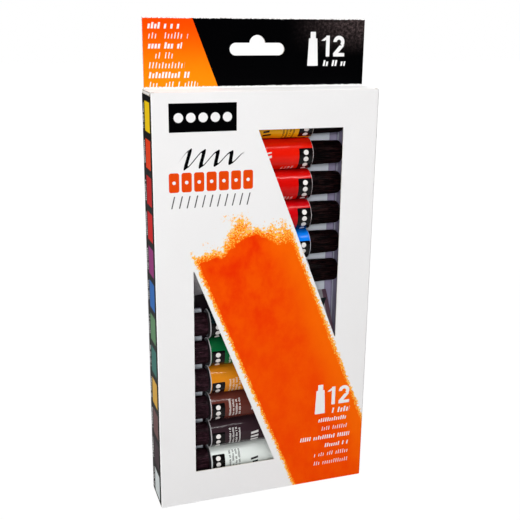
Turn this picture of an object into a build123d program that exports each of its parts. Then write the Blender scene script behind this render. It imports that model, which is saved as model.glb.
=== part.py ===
from build123d import *
import math
import os

# Hanging carton with twelve paint tubes in a formed tray. Millimetres, +Z up.
# The origin is the middle of the carton's foot; the window panel faces -Y.

# paint tubes
tube_rows = 12  # tubes in the box
rows_per_group = 6  # tubes of a group lie the same way round
tube_radius = 7.75
tube_gap = 0.25  # between two tubes that lie side by side
group_gap = 8.1  # between the two groups
group_offset = 2.3  # the lower group lies this much further to its caps' side
tube_wall = 0.2
paint_clearance = 0.05  # between the wall and the paint's surface
round_length = 28.0  # from the shoulder to where the body starts to flatten
taper_length = 35.5  # from there to the folded end
crimp_length = 5.2
crimp_thickness = 1.1
crimp_tilt = 32.0  # degrees, its upper edge towards the front panel
shoulder_length = 0.9
shoulder_radius = 6.3  # of the shoulder's step under the cap
shoulder_roof = 1.0  # metal above the paint
neck_radius = 3.6
neck_length = 7.5
orifice_radius = 1.6

# screw caps
cap_rim_radius = 6.1
cap_end_radius = 5.8
cap_length = 17.0
cap_rounding = 2.3
cap_seat_gap = 0.15  # between the cap's rim and the shoulder
thread_clearance = 0.08  # between neck and bore
cap_bore_relief = 0.4  # past the end of the neck
flute_count = 36
flute_depth = 0.22
flute_crest = 0.55  # share of each flute's pitch left standing
flute_margin = 1.2  # plain band at the cap's rim

# formed tray
sheet = 0.4  # thickness of the tray's plastic
tube_bed_gap = 0.3  # between a tube's back and the pocket's floor
pocket_end_gap = 1.1  # past the cap's end and the crimp's end
pocket_head_gap = 0.75  # above the first tube
pocket_foot_gap = 2.7  # below the last tube, whose folded end reaches lower
pocket_flare = 3.0  # the pocket widens by this much on each side
pocket_corner = 3.0
cap_step_gap = 0.3  # between a cap and the step under it
cap_step_inset = 2.9  # from the cap's outer end back to the step's edge
upper_step_overhang = 9.6  # the upper group's step runs past its last cap
lower_step_overhang = 0.3  # the lower group's step runs past its first cap
cap_step_flare = 0.5
cap_step_corner = 0.9
flange_left_width = 3.7  # from the pocket's mouth to the tray's edge
flange_right_width = 7.7
flange_foot_width = 1.05
flange_head_width = 1.2
skirt_flare = 2.4  # the skirt spreads towards the back
tray_front_gap = 1.6  # between the front panel and the tray's flange
tube_front_gap = 3.15  # between the front panel and the tubes
tray_side_gap = 0.3
tray_end_gap = 0.3  # to the dust flaps

# carton board
board = 0.5
crease_radius = 1.0  # outside of a folded corner
tuck_gap = 0.4  # between the front panel and a tuck flap
lid_gap = 0.15  # between a lid and the dust flaps under it
lid_side_relief = 0.4  # the lids are this much narrower on each side
hinge_gap = 0.1  # at the creases that turn
edge_relief = 0.2  # the front panel's cut edges stop short of the lids
tuck_length = 11.0
tuck_side_relief = 1.6
tuck_corner = 8.0
tuck_fold_least = 17.0  # degrees left between a lid and its flap, both bevelled at their crease
dust_flap_length = 36.0
dust_flap_front_relief = 3.6  # leaves the tuck flap's way free
dust_flap_back_relief = 2.5
dust_flap_corner = 5.0
glue_flap_width = 12.0
glue_flap_end_relief = 6.0
seam_setback = 0.4  # the back panel's cut edge stops short of the corner

# header with the hang slot
header_height = 33.0
header_left_relief = 1.0
header_right_relief = 0.3
slot_rise = 18.3  # from the header's foot to the slot's middle
slot_width = 28.2
slot_height = 6.0
slot_bump_radius = 4.1
slot_bump_rise = 2.6  # the round bump's centre above the slot's middle

# windows in the front panel
window_border = 18.4  # above the upper window and below the lower one
upper_window_side = 18.7
upper_window_width = 44.3
upper_window_height = 112.2
lower_window_side = 19.15
lower_window_width = 43.8
lower_window_height = 112.0
window_corner = 0.25

# worked out from the values above
body_length = round_length + taper_length + crimp_length
tube_length = body_length + shoulder_length + cap_seat_gap + cap_length
tube_pitch = 2 * tube_radius + tube_gap
stack_height = tube_rows * 2 * tube_radius + (tube_rows - 2) * tube_gap + group_gap
pocket_width = tube_length + group_offset + 2 * pocket_end_gap
pocket_height = stack_height + pocket_head_gap + pocket_foot_gap
closure = 2 * board + lid_gap  # a lid and the dust flaps under it
tray_width = pocket_width + 2 * (pocket_flare + skirt_flare) + flange_left_width + flange_right_width
tray_low = closure + tray_end_gap
pocket_low = tray_low + skirt_flare + flange_foot_width + pocket_flare
pocket_high = pocket_low + pocket_height
tray_high = pocket_high + pocket_flare + flange_head_width + skirt_flare
width = tray_width + 2 * (board + tray_side_gap)
height = tray_high + tray_end_gap + closure
depth = board + tube_front_gap + 2 * tube_radius + tube_bed_gap + sheet + 2 * board + hinge_gap

left = -width / 2
right = width / 2
front = -depth / 2
back = depth / 2
pocket_left = left + board + tray_side_gap + skirt_flare + flange_left_width + pocket_flare
pocket_right = pocket_left + pocket_width
upper_caps_end = pocket_right - pocket_end_gap
lower_caps_end = pocket_left + pocket_end_gap
tube_axis_y = front + board + tube_front_gap + tube_radius
floor_y = tube_axis_y + tube_radius + tube_bed_gap
flange_y = front + board + tray_front_gap
tray_back_y = floor_y + sheet
stack_centre_z = pocket_low + pocket_foot_gap + stack_height / 2
hinge_radius = board / 2
tuck_y = front + board + tuck_gap + hinge_radius  # middle of the tuck flaps
top_hinge_y = back - 2 * board - hinge_gap - hinge_radius
top_hinge_z = height - hinge_radius
bottom_hinge_y = back - hinge_radius
bottom_hinge_z = hinge_radius
tuck_width = width - 2 * (board + tuck_side_relief)
fold_bevel = board / 2 / math.tan(math.radians(tuck_fold_least / 2))
lid_width = width - 2 * lid_side_relief

tube_colours = [
    "yellow", "orange_red", "red", "carmine", "blue", "violet",
    "teal", "green", "ochre", "brown", "black", "white",
]


def box_between(low, high):
    """A block from its lowest to its highest corner."""
    size = [b - a for a, b in zip(low, high)]
    middle = [(a + b) / 2 for a, b in zip(low, high)]
    return Pos(*middle) * Box(*size)


def facing_plane(x, y, z):
    """A drawing plane at that depth, its axes along +X and +Z."""
    return Plane(origin=(x, y, z), x_dir=(1, 0, 0), z_dir=(0, -1, 0))


def facing_plate(outline, y_front, thickness):
    """A plate of that outline, from y_front backwards."""
    drawing = facing_plane(0, y_front, 0) * outline
    return extrude(drawing, amount=thickness, dir=(0, 1, 0))


def rod_along_x(radius, length, y, z):
    """A round rod across the carton, centred on x = 0."""
    return Pos(0, y, z) * Rot(0, 90, 0) * Cylinder(radius, length)


def prism_along_x(*corners):
    """A prism across the whole carton whose section has these (y, z) corners."""
    section = make_face(Polyline(*[(0, y, z) for y, z in corners], close=True).edges())
    return extrude(section, amount=width / 2, dir=(1, 0, 0), both=True)


# ---------------------------------------------------------------- carton sleeve


def corner_ring(y_back):
    """The sleeve's section: a rounded ring of board back to y_back."""
    deep = y_back - front
    middle = (front + y_back) / 2
    outside = Pos(0, middle) * RectangleRounded(width, deep, crease_radius)
    hole = Pos(0, middle) * RectangleRounded(width - 2 * board, deep - 2 * board, crease_radius - board)
    return outside - hole


def wedge(*points):
    """A flat region through these points."""
    return make_face(Polyline(*points, close=True).edges())


def sleeve_panel(section, region, z_low, z_high):
    """The part of the sleeve's section in that region, raised from z_low to z_high."""
    piece = section & region
    return Pos(0, 0, z_low) * extrude(piece, amount=z_high - z_low)


def window_outline(corner, across, down):
    """A three-cornered window with its right angle at corner."""
    x, z = corner
    shape = make_face(Polyline((x, z), (x + across, z), (x, z + down), close=True).edges())
    return fillet(shape.vertices(), window_corner)


def make_front_panel():
    reach = 2 * crease_radius  # the panels meet on a 45 degree line in each fold
    region = wedge(
        (left, front), (right, front), (right - reach, front + reach), (left + reach, front + reach)
    )
    panel = sleeve_panel(corner_ring(back), region, edge_relief, height - edge_relief)
    upper = window_outline(
        (right - upper_window_side, height - window_border), -upper_window_width, -upper_window_height
    )
    lower = window_outline((left + lower_window_side, window_border), lower_window_width, lower_window_height)
    for outline in (upper, lower):
        panel -= facing_plate(outline, front - board, 3 * board)
    return panel


side_low = closure - board + crease_radius  # where the bottom dust flaps bend away
side_high = height - side_low


def make_left_side():
    reach = 2 * crease_radius
    region = wedge((left, front), (left + reach, front + reach), (left + reach, back - reach), (left, back))
    return sleeve_panel(corner_ring(back), region, side_low, side_high)


def make_right_side():
    seam_y = back - board  # this side turns in under the back panel
    reach = 2 * crease_radius
    region = wedge(
        (right, front), (right, seam_y), (right - reach, seam_y - reach), (right - reach, front + reach)
    )
    return sleeve_panel(corner_ring(seam_y), region, side_low, side_high)


def make_glue_flap():
    seam_y = back - board
    start = right - crease_radius
    bend = wedge((right, seam_y), (right - crease_radius, seam_y - crease_radius), (start, seam_y))
    corner = sleeve_panel(corner_ring(seam_y), bend, side_low, side_high)
    x_low = right - board - glue_flap_width
    taper = glue_flap_end_relief
    outline = wedge(
        (start, side_low), (start, side_high), (x_low, side_high - taper), (x_low, side_low + taper)
    )
    return corner + facing_plate(outline, seam_y - board, board)


def make_back_panel():
    reach = 2 * crease_radius
    bend = corner_ring(back) & wedge((left, back), (left + reach, back - reach), (left + reach, back))
    x_high = right - seam_setback
    strip = Pos((left + reach + x_high) / 2, back - board / 2) * Rectangle(x_high - left - reach, board)
    z_low = board + hinge_gap
    return Pos(0, 0, z_low) * extrude(bend + strip, amount=height - z_low)


# ---------------------------------------------------------------- header


def slot_outline():
    """The hang slot: a long hole with round ends and a round bump above its middle."""
    z = height + slot_rise
    hole = Pos(0, z) * SlotOverall(slot_width, slot_height)
    return hole + Pos(0, z + slot_bump_rise) * Circle(slot_bump_radius)


def header_layer(y_front, z_low, outer_face):
    """One of the header's two layers of board, with its top edge rounded on the outer face."""
    x_low = left + header_left_relief
    x_high = right - header_right_relief
    z_high = height + header_height
    plate = box_between((x_low, y_front, z_low), (x_high, y_front + board, z_high))
    fold_edges = plate.edges().filter_by(Axis.X).group_by(Axis.Z)[-1]
    fold = fold_edges.sort_by(Axis.Y)[outer_face]
    plate = fillet(fold, board * 0.9)
    return plate - facing_plate(slot_outline(), y_front - board, 3 * board)


def make_header_rear():
    return header_layer(back - board, height, -1)


def make_header_front():
    return header_layer(back - 2 * board, height - board, 0)


# ---------------------------------------------------------------- lids and flaps


def lid_plate(hinge_y, z_crease, inwards):
    """A lid between its tuck crease and its hinge, with a rolled edge at the hinge."""
    low = (-lid_width / 2, tuck_y, z_crease - board / 2)
    plate = box_between(low, (lid_width / 2, hinge_y, z_crease + board / 2))
    plate += rod_along_x(hinge_radius, lid_width, hinge_y, z_crease)
    inner_z = z_crease + inwards * board / 2
    bevel = prism_along_x((tuck_y, z_crease), (tuck_y + fold_bevel, inner_z), (tuck_y, inner_z))
    return plate - bevel - rod_along_x(hinge_radius + hinge_gap, width, tuck_y, z_crease)


def tuck_plate(z_crease, inwards):
    """A tuck flap from its crease into the box; inwards is -1 down and 1 up."""
    outline = Rectangle(tuck_width, tuck_length)
    far_end = outline.vertices().group_by(Axis.Y)[0 if inwards < 0 else -1]
    outline = fillet(far_end, tuck_corner)
    placed = Pos(0, z_crease + inwards * tuck_length / 2) * outline
    plate = facing_plate(placed, tuck_y - hinge_radius, board)
    inner_y = tuck_y + board / 2
    bevel = prism_along_x((tuck_y, z_crease), (inner_y, z_crease + inwards * fold_bevel), (inner_y, z_crease))
    return plate - bevel + rod_along_x(hinge_radius, tuck_width, tuck_y, z_crease)


def dust_flap(side, z_inner, direction):
    """A dust flap with its bend. side is -1 left and 1 right; direction points out of the box."""
    y_low = front + dust_flap_front_relief
    y_high = back - 2 * board - dust_flap_back_relief
    wall = side * width / 2
    tip = wall - side * dust_flap_length
    root = wall - side * crease_radius
    outline = wedge((root, y_low), (tip, y_low), (tip, y_high), (root, y_high))
    ends = outline.vertices().sort_by(Axis.X)[2:] if side < 0 else outline.vertices().sort_by(Axis.X)[:2]
    outline = fillet(ends, dust_flap_corner)
    plate = Pos(0, 0, min(z_inner, z_inner + direction * board)) * extrude(outline, amount=board)
    bend_z = z_inner + direction * board - direction * crease_radius
    section = Circle(crease_radius) - Circle(crease_radius - board)
    ring = Rot(90, 0, 0) * extrude(section, amount=(y_high - y_low) / 2, both=True)
    ring = Pos(root, (y_low + y_high) / 2, bend_z) * ring
    bend_end = bend_z + direction * crease_radius
    quarter = box_between(
        (min(root, wall), front, min(bend_z, bend_end)), (max(root, wall), back, max(bend_z, bend_end))
    )
    return plate + (ring & quarter)


# ---------------------------------------------------------------- tray


def flared_block(x_range, z_range, y_front, y_rear, flare, corner):
    """A block whose front face is larger than its rear face by flare on each side."""
    x = sum(x_range) / 2
    z = sum(z_range) / 2
    wide = x_range[1] - x_range[0]
    tall = z_range[1] - z_range[0]
    rear_face = facing_plane(x, y_rear, z) * RectangleRounded(wide, tall, corner)
    front_face = facing_plane(x, y_front, z) * RectangleRounded(
        wide + 2 * flare, tall + 2 * flare, corner + max(flare, 0) / 2
    )
    return loft([rear_face, front_face])


def tray_step(side, grow):
    """The raised step under one group's caps, grown by grow. side is 1 for the upper group, at the right."""
    caps_end = upper_caps_end if side > 0 else lower_caps_end
    outer = caps_end - side * cap_step_inset
    inner = caps_end - side * cap_length
    overhang = upper_step_overhang if side > 0 else lower_step_overhang
    z_near = side * (group_gap / 2 + tube_radius - cap_rim_radius - overhang)
    z_far = side * stack_height / 2
    x_range = (min(outer, inner) - grow, max(outer, inner) + grow)
    z_range = (stack_centre_z + min(z_near, z_far) - grow, stack_centre_z + max(z_near, z_far) + grow)
    top_y = tube_axis_y + cap_rim_radius + cap_step_gap - grow
    return flared_block(x_range, z_range, top_y, tray_back_y + sheet, -cap_step_flare, cap_step_corner)


def pocket_space(grow):
    """The hollow of the pocket, grown outwards by grow."""
    x_range = (pocket_left - grow, pocket_right + grow)
    z_range = (pocket_low - grow, pocket_high + grow)
    hollow = flared_block(x_range, z_range, flange_y, floor_y + grow, pocket_flare, pocket_corner)
    for side in (-1, 1):
        hollow -= tray_step(side, -grow)
    return hollow


def tray_block(shrink):
    """The tray's outer shape, drawn in by shrink behind its flange."""
    half_wide = tray_width / 2 - shrink
    x_range = (-half_wide, half_wide)
    z_range = (tray_low + shrink, tray_high - shrink)
    y_front = flange_y + shrink
    return flared_block(x_range, z_range, y_front, tray_back_y, -skirt_flare, pocket_corner)


def make_tray():
    shell = tray_block(0) - pocket_space(0)
    hollow = tray_block(sheet) - pocket_space(sheet)
    return shell - hollow


# ---------------------------------------------------------------- tubes, paint and caps


def tube_section(x, radius, flatness, thin_half, tilt):
    """The tube's section at x: round at flatness 0 and a flat fold at 1, with about one girth throughout."""
    long_half = radius * (1 + (math.pi / 2 - 1) * flatness)
    short_half = radius * (1 - flatness) + thin_half * flatness
    across = (0, -math.sin(math.radians(tilt)), math.cos(math.radians(tilt)))
    plane = Plane(origin=(x, 0, 0), x_dir=across, z_dir=(1, 0, 0))
    return plane * Ellipse(long_half, short_half)


def tube_form(radius, thin_half, tilt):
    """The round and flattening part of a tube from the fold, x = crimp_length, to the shoulder."""
    shares = (0.0, 0.15, 0.5, 0.85, 1.0)
    stations = (0.0, 0.3, 0.58, 0.82, 1.0)
    start = crimp_length
    sections = [
        tube_section(start + (1 - place) * taper_length, radius, share, thin_half, tilt)
        for share, place in zip(shares, stations)
    ]
    taper = loft(sections)
    middle = start + taper_length + round_length / 2
    straight = Pos(middle, 0, 0) * Rot(0, 90, 0) * Cylinder(radius, round_length)
    return taper + straight


def make_tube(tilt):
    """An empty tube along +X: folded end at x = 0, shoulder and neck at the far end."""
    shoulder_x = body_length
    roof_x = shoulder_x + shoulder_length
    half_fold = crimp_thickness / 2
    outside = tube_form(tube_radius, half_fold, tilt)
    fold_width = math.pi * tube_radius
    fold = Pos(crimp_length / 2, 0, 0) * Rot(tilt, 0, 0) * Box(crimp_length, crimp_thickness, fold_width)
    outside += fold
    cone = Pos(shoulder_x + shoulder_length / 2, 0, 0) * Rot(0, 90, 0) * Cone(
        tube_radius, shoulder_radius, shoulder_length
    )
    neck = Pos(roof_x + neck_length / 2, 0, 0) * Rot(0, 90, 0) * Cylinder(neck_radius, neck_length)
    hollow = tube_form(tube_radius - tube_wall, half_fold - tube_wall, tilt)
    hollow -= box_between(
        (shoulder_x - shoulder_roof, -tube_radius, -tube_radius), (roof_x, tube_radius, tube_radius)
    )
    orifice_start = shoulder_x - shoulder_roof - tube_wall
    orifice_length = tube_length - orifice_start
    orifice = Pos(orifice_start + orifice_length / 2, 0, 0) * Rot(0, 90, 0) * Cylinder(
        orifice_radius, orifice_length
    )
    return outside + cone + neck - hollow - orifice


def make_paint(tilt):
    """The paint that fills a tube, in the tube's own frame."""
    inset = tube_wall + paint_clearance
    fill = tube_form(tube_radius - inset, crimp_thickness / 2 - inset, tilt)
    end = body_length - shoulder_roof - paint_clearance
    return fill - box_between((end, -tube_radius, -tube_radius), (tube_length, tube_radius, tube_radius))


def flute_star(x):
    """The fluted outline at x, its crests past the cap's own surface."""
    surface = cap_rim_radius + (cap_end_radius - cap_rim_radius) * x / cap_length
    outside = 2 * cap_rim_radius
    valley = surface - flute_depth
    points = []
    for tooth in range(flute_count):
        for share, radius in ((0, outside), (flute_crest, outside), ((1 + flute_crest) / 2, valley)):
            angle = 2 * math.pi * (tooth + share) / flute_count
            points.append((x, radius * math.cos(angle), radius * math.sin(angle)))
    return make_face(Polyline(*points, close=True).edges())


def make_cap():
    """A fluted screw cap along +X with its rim at x = 0, a little narrower at its end."""
    blank = Pos(cap_length / 2, 0, 0) * Rot(0, 90, 0) * Cone(cap_rim_radius, cap_end_radius, cap_length)
    outer_rim = blank.edges().filter_by(GeomType.CIRCLE).sort_by(Axis.X)[-1]
    blank = fillet(outer_rim, cap_rounding)
    star = loft([flute_star(flute_margin), flute_star(cap_length)], ruled=True)
    plain_band = blank & box_between(
        (0, -cap_rim_radius, -cap_rim_radius), (flute_margin, cap_rim_radius, cap_rim_radius)
    )
    cap = (blank & star) + plain_band
    bore_depth = neck_length + cap_bore_relief - cap_seat_gap
    bore = Pos(bore_depth / 2, 0, 0) * Rot(0, 90, 0) * Cylinder(neck_radius + thread_clearance, bore_depth)
    return cap - bore


def row_height(row):
    """The height of a tube's axis; row 0 is the topmost."""
    top = stack_centre_z + stack_height / 2 - tube_radius
    past_gap = group_gap - tube_gap if row >= rows_per_group else 0
    return top - row * tube_pitch - past_gap


def place_along(row, piece, x):
    """Puts a piece from the tube's own frame into its row; the second group lies the other way round."""
    if row < rows_per_group:
        return Pos(upper_caps_end - tube_length + x, tube_axis_y, row_height(row)) * piece
    return Pos(lower_caps_end + tube_length - x, tube_axis_y, row_height(row)) * Rot(0, 0, 180) * piece


def save(name, piece):
    piece.label = name
    export_step(piece, f"parts/{name}.step")


def main():
    os.makedirs("parts", exist_ok=True)
    save("front_panel", make_front_panel())
    save("left_side_panel", make_left_side())
    save("right_side_panel", make_right_side())
    save("glue_flap", make_glue_flap())
    save("back_panel", make_back_panel())
    save("header_rear_layer", make_header_rear())
    save("header_front_layer", make_header_front())
    save("top_lid", lid_plate(top_hinge_y, top_hinge_z, -1))
    save("top_tuck_flap", tuck_plate(top_hinge_z, -1))
    save("bottom_lid", lid_plate(bottom_hinge_y, bottom_hinge_z, 1))
    save("bottom_tuck_flap", tuck_plate(bottom_hinge_z, 1))
    for side, word in ((-1, "left"), (1, "right")):
        save(f"top_dust_flap_{word}", dust_flap(side, height - closure, 1))
        save(f"bottom_dust_flap_{word}", dust_flap(side, closure, -1))
    save("tray", make_tray())
    cap = make_cap()
    for first, tilt in ((0, crimp_tilt), (rows_per_group, -crimp_tilt)):
        tube = make_tube(tilt)
        paint = make_paint(tilt)
        for row in range(first, first + rows_per_group):
            label = f"{row + 1:02d}_{tube_colours[row]}"
            save(f"tube_{label}", place_along(row, tube, 0))
            save(f"paint_{label}", place_along(row, paint, 0))
            save(f"cap_{label}", place_along(row, cap, body_length + shoulder_length + cap_seat_gap))
    print("carton", round(width, 2), round(depth, 2), round(height, 2))
    print("with its header", round(height + header_height, 2))


main()
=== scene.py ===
import bpy
import math
from mathutils import Matrix, Vector


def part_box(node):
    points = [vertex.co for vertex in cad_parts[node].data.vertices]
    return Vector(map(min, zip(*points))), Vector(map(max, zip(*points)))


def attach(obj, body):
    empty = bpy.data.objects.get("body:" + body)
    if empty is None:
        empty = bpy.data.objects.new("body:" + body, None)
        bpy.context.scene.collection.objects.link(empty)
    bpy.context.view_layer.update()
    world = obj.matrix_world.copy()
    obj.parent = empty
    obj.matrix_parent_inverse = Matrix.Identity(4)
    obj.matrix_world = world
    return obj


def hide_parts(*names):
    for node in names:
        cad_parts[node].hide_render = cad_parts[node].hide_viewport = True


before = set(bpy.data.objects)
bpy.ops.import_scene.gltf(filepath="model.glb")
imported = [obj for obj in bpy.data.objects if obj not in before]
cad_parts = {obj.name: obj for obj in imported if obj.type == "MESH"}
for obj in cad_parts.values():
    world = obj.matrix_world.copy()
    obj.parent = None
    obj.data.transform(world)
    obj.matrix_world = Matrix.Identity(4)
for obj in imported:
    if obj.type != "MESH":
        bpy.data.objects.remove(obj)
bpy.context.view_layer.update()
mm = 0.001

# handy shorthands for shader nodes


def ink(red, green, blue):
    shares = [value / 255 for value in (red, green, blue)]
    return tuple(s / 12.92 if s < 0.04 else ((s + 0.055) / 1.055) ** 2.4 for s in shares) + (1.0,)


def plug(tree, value, target):
    if isinstance(value, bpy.types.NodeSocket):
        tree.links.new(value, target)
    else:
        target.default_value = value


def addNode(tree, kind, inputs, **settings):
    node = tree.nodes.new("ShaderNode" + kind)
    for name, value in settings.items():
        setattr(node, name, value)
    for name, value in inputs.items():
        plug(tree, value, node.inputs[name])
    return node


def calc(tree, operation, *values):
    return addNode(tree, "Math", dict(enumerate(values)), operation=operation).outputs[0]


def vectorCalc(tree, operation, *values):
    node = addNode(tree, "VectorMath", dict(enumerate(values)), operation=operation)
    return node.outputs["Value"] if operation in ("DOT_PRODUCT", "LENGTH") else node.outputs[0]


def split(tree, vector):
    return addNode(tree, "SeparateXYZ", {0: vector}).outputs


def join(tree, x, y, z=0.0):
    return addNode(tree, "CombineXYZ", {0: x, 1: y, 2: z}).outputs[0]


def ease(tree, value, low, high):  # 0 below low, 1 above high, smooth between
    node = addNode(tree, "MapRange", {0: value, 1: low, 2: high}, interpolation_type="SMOOTHSTEP")
    return node.outputs[0]


def blendInk(tree, share, under, over, mode="MIX"):
    node = addNode(tree, "Mix", {0: share, 6: under, 7: over}, data_type="RGBA", blend_type=mode)
    return node.outputs[2]


def noise(tree, place, scale, detail=2.0, rough=0.5, warp=0.0):
    inputs = {"Vector": place, "Scale": scale, "Detail": detail, "Roughness": rough, "Distortion": warp}
    return addNode(tree, "TexNoise", inputs).outputs[0]


def newGroup(name, inputs, outputs):
    tree = bpy.data.node_groups.new(name, "ShaderNodeTree")
    for label, value in inputs.items():
        kind = "NodeSocketVector" if isinstance(value, tuple) else "NodeSocketFloat"
        tree.interface.new_socket(label, in_out="INPUT", socket_type=kind).default_value = value
    for label in outputs:
        tree.interface.new_socket(label, in_out="OUTPUT", socket_type="NodeSocketFloat")
    return tree, tree.nodes.new("NodeGroupInput").outputs, tree.nodes.new("NodeGroupOutput").inputs


def useGroup(tree, name, inputs):
    node = addNode(tree, "Group", {}, node_tree=bpy.data.node_groups[name])
    for label, value in inputs.items():
        plug(tree, value, node.inputs[label])
    return node.outputs


def finish(name, look, depth, **shader):
    # a material from a function that fills in its nodes; depth is the bump's height in mm
    material = bpy.data.materials.new(name)
    material.use_nodes = True
    tree = material.node_tree
    tree.nodes.clear()
    made = look(tree)
    bump = addNode(tree, "Bump", {"Height": made["height"], "Distance": depth * mm, "Strength": 1.0})
    inputs = {"Base Color": made["colour"], "Roughness": made["rough"], "Normal": bump.outputs[0]}
    inputs.update({label.replace("_", " "): value for label, value in shader.items()})
    if "metal" in made:
        inputs["Metallic"] = made["metal"]
    skin = addNode(tree, "BsdfPrincipled", inputs)
    end = tree.nodes.new("ShaderNodeOutputMaterial")
    tree.links.new(skin.outputs[0], end.inputs[0])
    return material


# the camera stands left of the box and a little above it
view = {
    "place": (-129.3, -382.67, 249.92), "heading": 18.6, "pitch": -16.64, "roll": 0.66, "lens": 56.55,
}


def addCamera():
    bpy.ops.object.camera_add(location=[value * mm for value in view["place"]])
    camera = bpy.context.object
    heading, pitch, roll = (math.radians(view[name]) for name in ("heading", "pitch", "roll"))
    turn = Matrix.Rotation(-heading, 4, "Z") @ Matrix.Rotation(math.pi / 2 + pitch, 4, "X")
    camera.rotation_euler = (turn @ Matrix.Rotation(roll, 4, "Z")).to_euler()
    camera.data.lens = view["lens"]
    camera.data.sensor_width = 36
    camera.data.clip_start = 0.01
    bpy.context.scene.camera = camera


# soft studio light: a bright strip above that the gloss shows, and fills that it doesn't
lamps = {
    "keyStrip": {"from": (0.28, -0.45, 0.85), "away": 0.95, "size": (1.2, 0.05), "watts": 4.0},
    "frontFill": {"from": (-0.31, -0.9, 0.29), "away": 1.1, "size": (0.3, 0.3), "watts": 5.7},
    "leftFill": {"from": (-0.97, -0.12, 0.2), "away": 1.1, "size": (0.8, 0.8), "watts": 6.2},
    "topFill": {"from": (0.0, -0.1, 1.0), "away": 1.0, "size": (0.8, 0.8), "watts": 4.6},
    "backFill": {"from": (0.3, 0.9, 0.35), "away": 1.1, "size": (1.0, 1.0), "watts": 6.5},
}
studio = {
    "target": (0, 0, 0.12), "ambient": 0.2, "frontGloss": 0.03, "backGloss": 0.2,
    "inGloss": ["keyStrip"],
}


def addLamp(name, lamp):
    aim = Vector(studio["target"])
    towards = Vector(lamp["from"]).normalized()
    bpy.ops.object.light_add(type="AREA", location=aim + towards * lamp["away"])
    light = bpy.context.object
    light.name = name
    light.rotation_euler = towards.to_track_quat("Z", "Y").to_euler()
    light.data.shape = "RECTANGLE"
    light.data.size, light.data.size_y = lamp["size"]
    light.data.energy = lamp["watts"]
    light.visible_glossy = name in studio["inGloss"]


def addWorld():
    world = bpy.data.worlds.new("studioWorld")
    bpy.context.scene.world = world
    world.use_nodes = True
    tree = world.node_tree
    tree.nodes.clear()
    path = tree.nodes.new("ShaderNodeLightPath").outputs
    towards = addNode(tree, "TexCoord", {}).outputs["Generated"]
    behind = ease(tree, split(tree, towards)[1], -0.1, 0.25)
    sides = {0: behind, 2: studio["frontGloss"], 3: studio["backGloss"]}
    gloss = addNode(tree, "Mix", sides).outputs[0]
    mirrored = calc(tree, "MAXIMUM", path["Is Glossy Ray"], path["Is Transmission Ray"])
    level = addNode(tree, "Mix", {0: mirrored, 2: studio["ambient"], 3: gloss}).outputs[0]
    level = calc(tree, "MAXIMUM", level, path["Is Camera Ray"])
    sky = addNode(tree, "Background", {"Color": (1, 1, 1, 1), "Strength": level})
    end = tree.nodes.new("ShaderNodeOutputWorld")
    tree.links.new(sky.outputs[0], end.inputs[0])


floorLook = {
    "size": 8.0, "colour": ink(150, 150, 150), "glow": 1.06, "nearShare": 0.93, "near": 0.2, "far": 0.9,
    "drop": 0.0002,
}


def addFloor():
    bpy.ops.mesh.primitive_plane_add(size=floorLook["size"], location=(0, 0, -floorLook["drop"]))
    floor = bpy.context.object
    floor.name = "studioFloor"
    material = bpy.data.materials.new("floorPaper")
    material.use_nodes = True
    tree = material.node_tree
    tree.nodes.clear()
    path = tree.nodes.new("ShaderNodeLightPath").outputs
    spot = addNode(tree, "TexCoord", {}).outputs["Object"]
    fade = ease(tree, vectorCalc(tree, "LENGTH", spot), floorLook["near"], floorLook["far"])
    share = addNode(tree, "Mix", {0: fade, 2: floorLook["nearShare"], 3: 1.0}).outputs[0]
    share = calc(tree, "MULTIPLY", path["Is Camera Ray"], share)
    paper = addNode(tree, "BsdfDiffuse", {"Color": floorLook["colour"]})
    glow = addNode(tree, "Emission", {"Color": (1, 1, 1, 1), "Strength": floorLook["glow"]})
    both = addNode(tree, "MixShader", {0: share, 1: paper.outputs[0], 2: glow.outputs[0]})
    end = tree.nodes.new("ShaderNodeOutputMaterial")
    tree.links.new(both.outputs[0], end.inputs[0])
    floor.data.materials.append(material)


addCamera()
for lampName, lampValues in lamps.items():
    addLamp(lampName, lampValues)
addWorld()
addFloor()
bpy.context.scene.view_settings.view_transform = "Standard"
print("studio ready")

# print masks, all in millimetres on a flat place (across, up, 0)


def makeBarGroup():
    given = {
        "Place": (0.0, 0.0, 0.0), "Centre": (0.0, 0.0, 0.0), "Size": (1.0, 1.0, 0.0),
        "Slant": 0.0, "Taper": 0.0, "Corner": 0.1, "Soft": 0.06,
    }
    tree, get, put = newGroup("Print bar", given, ["Mask"])
    x, y, _ = split(tree, vectorCalc(tree, "SUBTRACT", get["Place"], get["Centre"]))
    halfX, halfY, _ = split(tree, vectorCalc(tree, "MULTIPLY", get["Size"], (0.5, 0.5, 0.5)))
    x = calc(tree, "ABSOLUTE", calc(tree, "SUBTRACT", x, calc(tree, "MULTIPLY", y, get["Slant"])))
    halfX = calc(tree, "SUBTRACT", halfX, calc(tree, "MULTIPLY", y, get["Taper"]))
    overX = calc(tree, "ADD", calc(tree, "SUBTRACT", x, halfX), get["Corner"])
    overY = calc(tree, "ADD", calc(tree, "SUBTRACT", calc(tree, "ABSOLUTE", y), halfY), get["Corner"])
    outer = join(tree, calc(tree, "MAXIMUM", overX, 0.0), calc(tree, "MAXIMUM", overY, 0.0))
    inner = calc(tree, "MINIMUM", calc(tree, "MAXIMUM", overX, overY), 0.0)
    distance = calc(tree, "ADD", vectorCalc(tree, "LENGTH", outer), inner)
    distance = calc(tree, "SUBTRACT", get["Corner"], distance)
    lowest = calc(tree, "MULTIPLY", get["Soft"], -1.0)
    plug(tree, ease(tree, distance, lowest, get["Soft"]), put["Mask"])


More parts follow.
